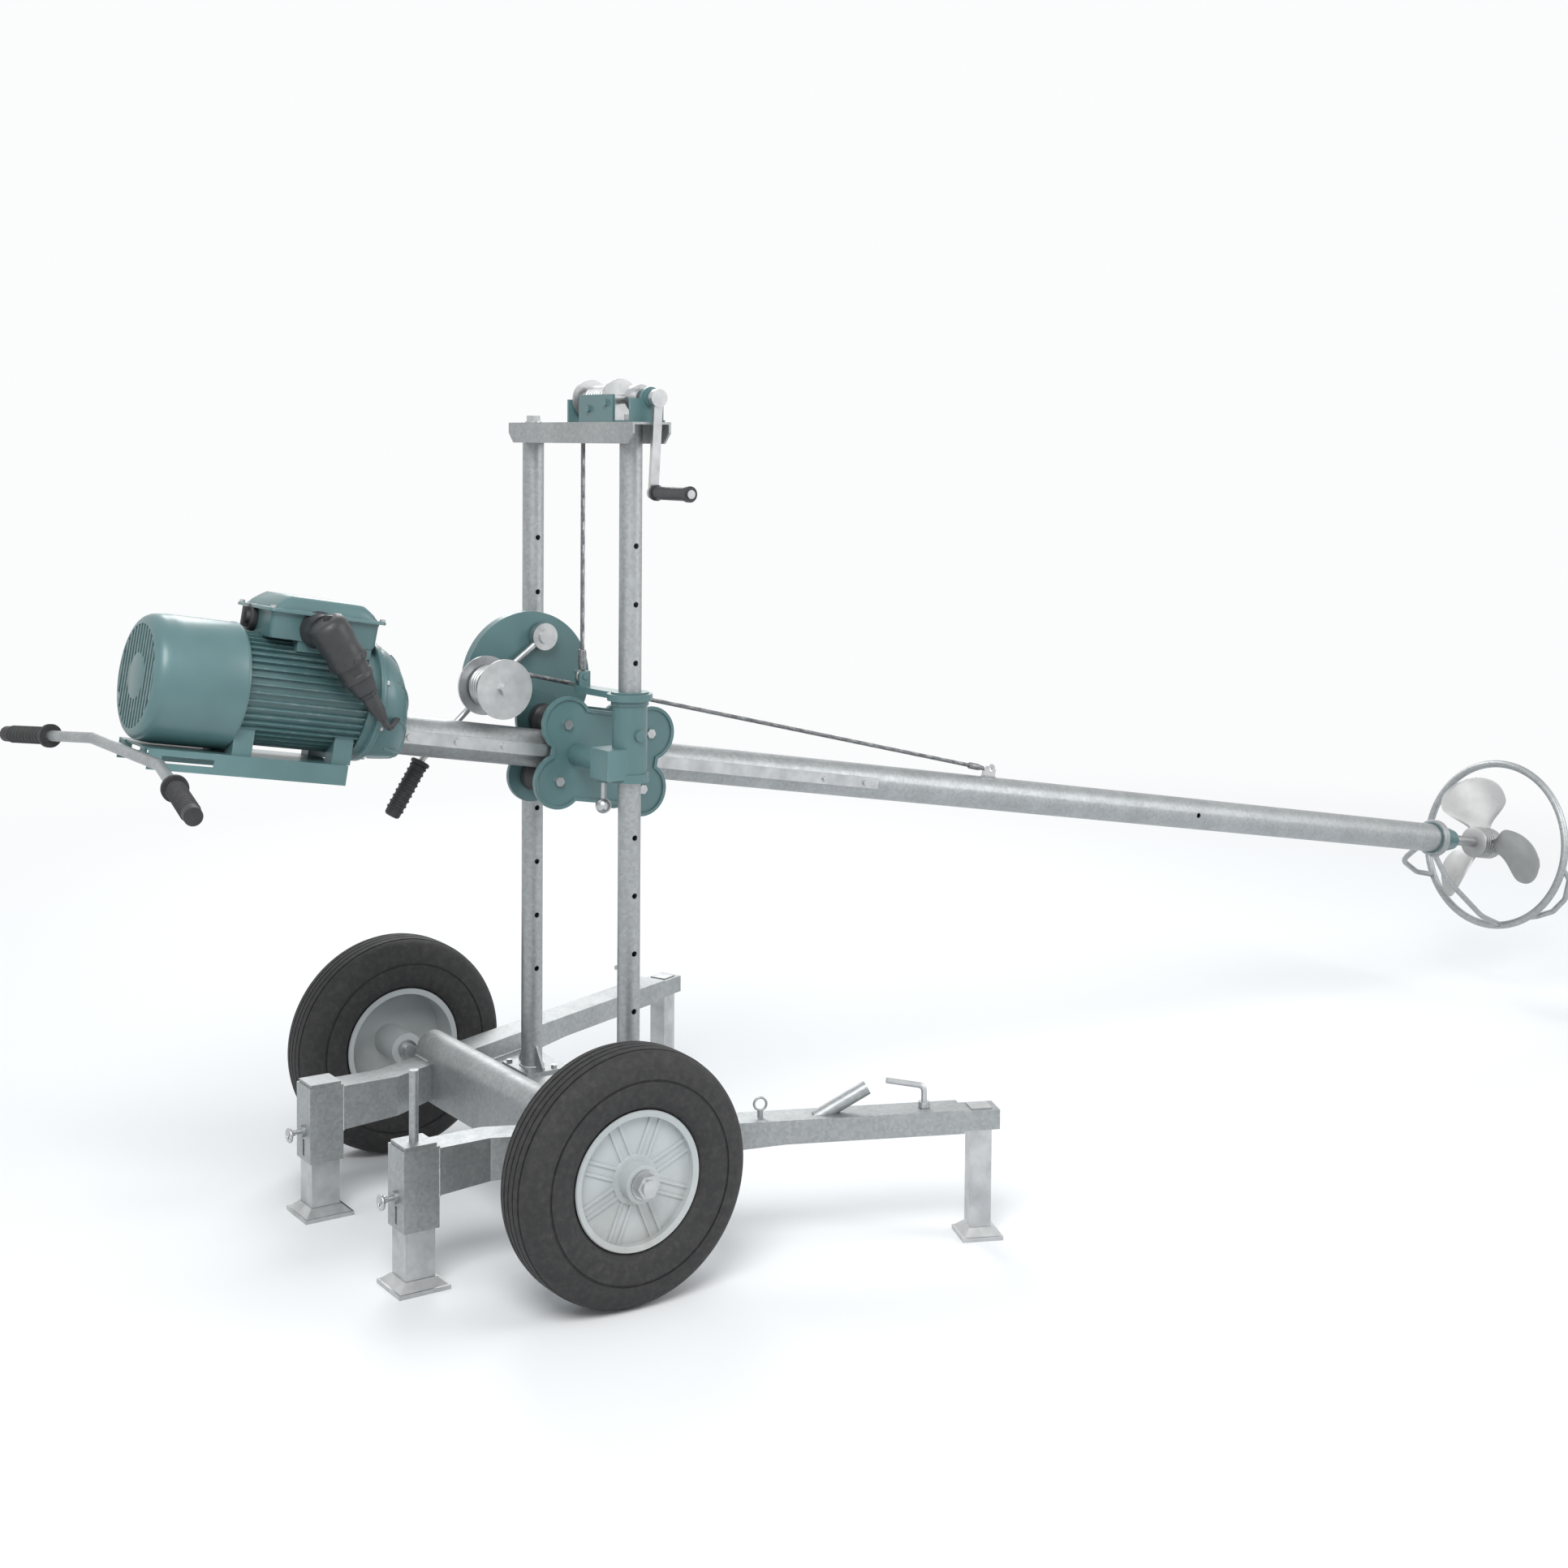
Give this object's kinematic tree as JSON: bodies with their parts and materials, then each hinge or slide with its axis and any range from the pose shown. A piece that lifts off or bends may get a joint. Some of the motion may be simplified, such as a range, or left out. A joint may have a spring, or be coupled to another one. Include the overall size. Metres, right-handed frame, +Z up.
{
  "type": "mobile electric agitator",
  "caption": "Wheeled trolley with a winch mast and a tilting rocker that carries a long shaft tube, with an electric motor at one end and a guarded propeller at the other.",
  "frame": {"origin": "on the ground, below the middle of the bounding box", "axes": "+X from the mast towards the propeller, +Y to the left, +Z up"},
  "size_m": [4.3252, 1.4054, 1.812],
  "materials": {
    "tyres": "matt black rubber",
    "wheel_steel": "light grey paint",
    "zinc": "zinc-plated steel",
    "galvanised": "hot-dip galvanised steel",
    "paint": "semi-gloss teal-grey paint",
    "black_plastic": "black plastic",
    "grip_rubber": "ribbed black rubber",
    "rope": "stranded steel wire",
    "shaft_steel": "machined steel"
  },
  "bodies": {
    "trolley": {"axle": "zinc", "frame_fasteners": "zinc", "side_beams": "galvanised", "cross_member": "galvanised", "frame_plates": "galvanised", "right_jack_tube": "galvanised", "left_jack_tube": "galvanised", "drawbar_socket": "galvanised", "mast_tubes": "galvanised", "head_beam": "galvanised", "hoist_frame": "paint"},
    "right_wheel": {"right_tyre": "tyres", "right_rim": "wheel_steel"},
    "left_wheel": {"left_tyre": "tyres", "left_rim": "wheel_steel"},
    "right_jack": {"right_jack_leg": "zinc"},
    "left_jack": {"left_jack_leg": "zinc"},
    "right_jack_screw": {"right_jack_clamp": "zinc"},
    "left_jack_screw": {"left_jack_clamp": "zinc"},
    "right_outrigger": {"right_outrigger": "galvanised"},
    "left_outrigger": {"left_outrigger": "galvanised"},
    "right_leg": {"right_front_leg": "zinc"},
    "left_leg": {"left_front_leg": "zinc"},
    "right_outrigger_screw": {"right_leg_clamp": "zinc"},
    "left_outrigger_screw": {"left_leg_clamp": "zinc"},
    "hoist_winch": {"hoist_drum": "zinc", "hoist_crank": "zinc"},
    "hoist_handle": {"hoist_grip": "black_plastic"},
    "carriage": {"carriage_sleeve": "paint", "hoist_yoke": "paint", "hoist_rope": "rope"},
    "tilt_screw": {"tilt_clamp": "zinc"},
    "rocker": {"right_rocker_plate": "paint", "left_rocker_plate": "paint", "roller_bolts": "zinc", "gear_case": "paint"},
    "rear_upper_roller": {"rear_upper_roller": "black_plastic"},
    "rear_lower_roller": {"rear_lower_roller": "black_plastic"},
    "front_upper_roller": {"front_upper_roller": "black_plastic"},
    "front_lower_roller": {"front_lower_roller": "black_plastic"},
    "haul_winch": {"haul_drum": "zinc"},
    "haul_lever": {"haul_lever": "zinc"},
    "boom": {"shaft_tube": "galvanised", "guide_rails": "zinc", "drive_housing": "paint", "tail_bearing": "paint", "motor_frame": "paint", "fan_cowl": "paint", "terminal_box": "paint", "terminal_lid": "paint", "plug_and_lead": "black_plastic", "motor_tray": "paint", "handlebar": "galvanised", "handle_grips": "grip_rubber", "propeller_guard": "galvanised", "haul_rope": "rope"},
    "rotor": {"motor_rotor": "shaft_steel"},
    "propeller": {"drive_shaft": "shaft_steel", "propeller": "shaft_steel"},
    "switch": {"switch_knob": "black_plastic"}
  },
  "joints": [
    {"name": "right_wheel_spin", "type": "hinge", "parent": "trolley", "child": "right_wheel", "pos_m": [-1.27694, -0.54, 0.254], "axis": [0, 1, 0], "continuous": true},
    {"name": "right_jack_slide", "type": "slide", "parent": "trolley", "child": "right_jack", "axis": [0, 0, 1], "range_m": [-0.02, 0.064]},
    {"name": "right_jack_screw_turn", "type": "hinge", "parent": "trolley", "child": "right_jack_screw", "pos_m": [-1.58494, -0.24, 0.186], "axis": [1, 0, 0], "range_deg": [0, 360]},
    {"name": "right_outrigger_slide", "type": "slide", "parent": "trolley", "child": "right_outrigger", "axis": [0.9206, -0.3904, 0], "range_m": [0, 0.2]},
    {"name": "right_leg_slide", "type": "slide", "parent": "right_outrigger", "child": "right_leg", "axis": [0, 0, 1], "range_m": [-0.02, 0.17]},
    {"name": "right_outrigger_screw_turn", "type": "hinge", "parent": "trolley", "child": "right_outrigger_screw", "pos_m": [-0.58287, -0.59795, 0.255], "axis": [0, 0, 1], "range_deg": [0, 180]},
    {"name": "left_wheel_spin", "type": "hinge", "parent": "trolley", "child": "left_wheel", "pos_m": [-1.27694, 0.54, 0.254], "axis": [0, 1, 0], "continuous": true},
    {"name": "left_jack_slide", "type": "slide", "parent": "trolley", "child": "left_jack", "axis": [0, 0, 1], "range_m": [-0.02, 0.064]},
    {"name": "left_jack_screw_turn", "type": "hinge", "parent": "trolley", "child": "left_jack_screw", "pos_m": [-1.58494, 0.24, 0.186], "axis": [1, 0, 0], "range_deg": [0, 360]},
    {"name": "left_outrigger_slide", "type": "slide", "parent": "trolley", "child": "left_outrigger", "axis": [0.9206, 0.3904, 0], "range_m": [0, 0.2]},
    {"name": "left_leg_slide", "type": "slide", "parent": "left_outrigger", "child": "left_leg", "axis": [0, 0, 1], "range_m": [-0.02, 0.17]},
    {"name": "left_outrigger_screw_turn", "type": "hinge", "parent": "trolley", "child": "left_outrigger_screw", "pos_m": [-0.58287, 0.59795, 0.255], "axis": [0, 0, 1], "range_deg": [0, 180]},
    {"name": "carriage_lift", "type": "slide", "parent": "trolley", "child": "carriage", "axis": [0, 0, 1], "range_m": [-0.4, 0.3], "deforming": ["hoist_rope"]},
    {"name": "hoist_turn", "type": "hinge", "parent": "trolley", "child": "hoist_winch", "pos_m": [-1.07194, -0.09, 1.768], "axis": [0, 1, 0], "range_deg": [-908, 682]},
    {"name": "hoist_handle_spin", "type": "hinge", "parent": "hoist_winch", "child": "hoist_handle", "pos_m": [-1.08214, -0.374, 1.57327], "axis": [0, 1, 0], "continuous": true},
    {"name": "tilt", "type": "hinge", "parent": "carriage", "child": "rocker", "pos_m": [-1.12194, 0, 1.00262], "axis": [0, 1, 0], "range_deg": [-20, 18]},
    {"name": "tilt_screw_turn", "type": "hinge", "parent": "carriage", "child": "tilt_screw", "pos_m": [-1.12194, -0.178, 0.94262], "axis": [0, 0, 1], "range_deg": [0, 360]},
    {"name": "boom_slide", "type": "slide", "parent": "rocker", "child": "boom", "axis": [0.9866, 0, -0.1633], "range_m": [-0.6, 0.04], "deforming": ["haul_rope"]},
    {"name": "rear_upper_roller_spin", "type": "hinge", "parent": "rocker", "child": "rear_upper_roller", "pos_m": [-1.14584, 0, 1.06917], "axis": [0, 1, 0], "range_deg": [-114, 1679]},
    {"name": "rear_lower_roller_spin", "type": "hinge", "parent": "rocker", "child": "rear_lower_roller", "pos_m": [-1.16602, 0, 0.94733], "axis": [0, 1, 0], "range_deg": [-1679, 114]},
    {"name": "front_upper_roller_spin", "type": "hinge", "parent": "rocker", "child": "front_upper_roller", "pos_m": [-0.93866, 0, 1.03487], "axis": [0, 1, 0], "range_deg": [-114, 1679]},
    {"name": "front_lower_roller_spin", "type": "hinge", "parent": "rocker", "child": "front_lower_roller", "pos_m": [-0.95884, 0, 0.91303], "axis": [0, 1, 0], "range_deg": [-1679, 114]},
    {"name": "haul_turn", "type": "hinge", "parent": "rocker", "child": "haul_winch", "pos_m": [-1.28732, 0, 1.15138], "axis": [0, 1, 0], "range_deg": [-835, 58]},
    {"name": "haul_lever_swing", "type": "hinge", "parent": "rocker", "child": "haul_lever", "pos_m": [-1.12758, 0.084, 1.24682], "axis": [0, 1, 0], "range_deg": [-28, 2]},
    {"name": "propeller_spin", "type": "hinge", "parent": "boom", "child": "propeller", "pos_m": [2.0603, 0, 0.47581], "axis": [0.9866, 0, -0.1633], "continuous": true},
    {"name": "rotor_spin", "type": "hinge", "parent": "boom", "child": "rotor", "pos_m": [-1.90053, 0, 1.19436], "axis": [0.9866, 0, -0.1633], "continuous": true},
    {"name": "switch_turn", "type": "hinge", "parent": "boom", "child": "switch", "pos_m": [-1.76322, 0.018, 1.31354], "axis": [0.9866, 0, -0.1633], "range_deg": [0, 90]}
  ],
  "couplings": [
    {"joint": "hoist_turn", "follows": "carriage_lift", "rad_per_m": 39.526},
    {"joint": "haul_turn", "follows": "boom_slide", "rad_per_m": 24.213},
    {"joint": "rotor_spin", "follows": "propeller_spin", "ratio": -1.3846},
    {"joint": "rear_upper_roller_spin", "follows": "boom_slide", "rad_per_m": -48.78},
    {"joint": "rear_lower_roller_spin", "follows": "boom_slide", "rad_per_m": 48.78},
    {"joint": "front_upper_roller_spin", "follows": "boom_slide", "rad_per_m": -48.78},
    {"joint": "front_lower_roller_spin", "follows": "boom_slide", "rad_per_m": 48.78}
  ]
}
